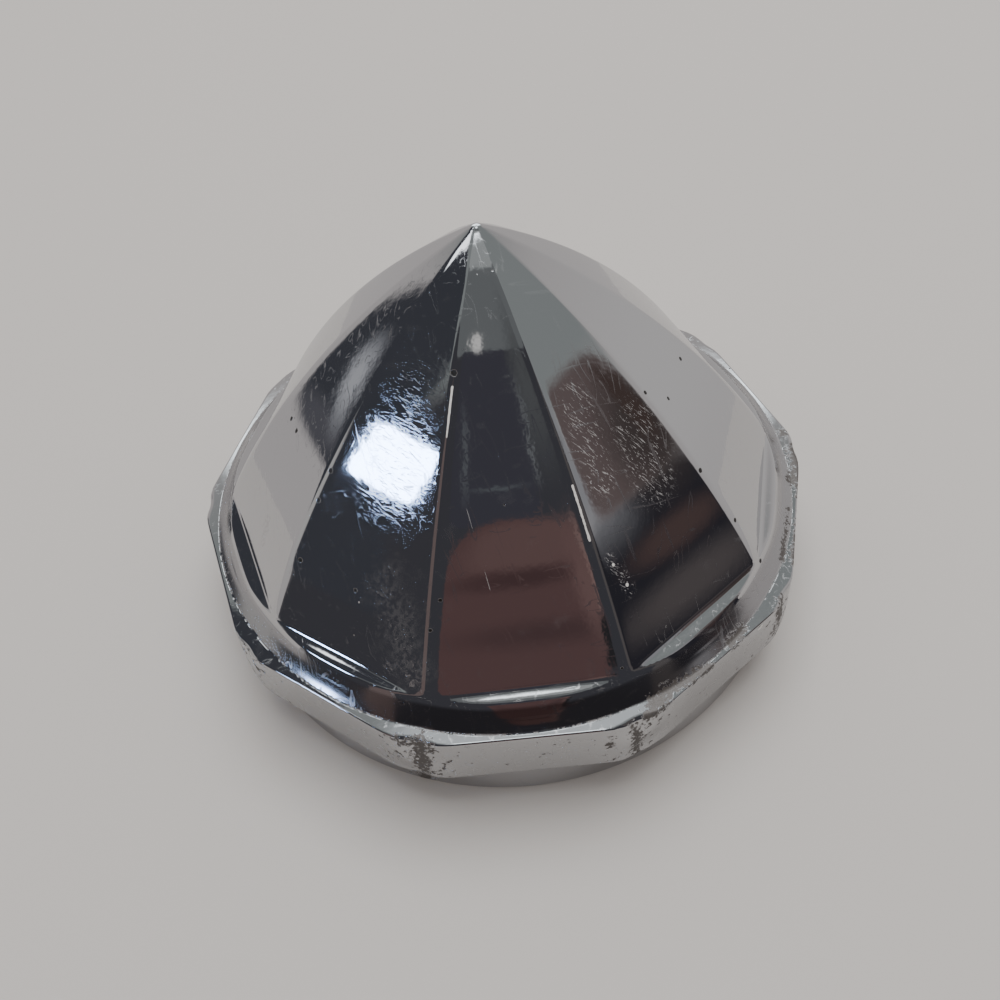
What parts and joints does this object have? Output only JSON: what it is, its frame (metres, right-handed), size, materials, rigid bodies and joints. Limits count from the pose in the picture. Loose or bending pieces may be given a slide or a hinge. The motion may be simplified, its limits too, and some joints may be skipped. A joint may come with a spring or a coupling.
{
  "type": "centre-lock wheel hub nut",
  "caption": "Centre-lock hub nut for a wire wheel: many-sided wrench flange under a faceted, bullet-shaped cap, with a round boss and a threaded blind bore.",
  "frame": {"origin": "centre of the end face of the round boss, which is the base of the bounding box", "axes": "+Z along the thread's axis to the pointed tip; a wrench flat faces -Y, with its facet of the cap turned 1.2 degrees from it, counter-clockwise seen from the tip"},
  "size_m": [0.0874, 0.084, 0.0584],
  "materials": {
    "chrome": "polished chrome plate, scratched and pitted"
  },
  "bodies": {
    "root": {"hub_nut": "chrome"}
  },
  "joints": []
}
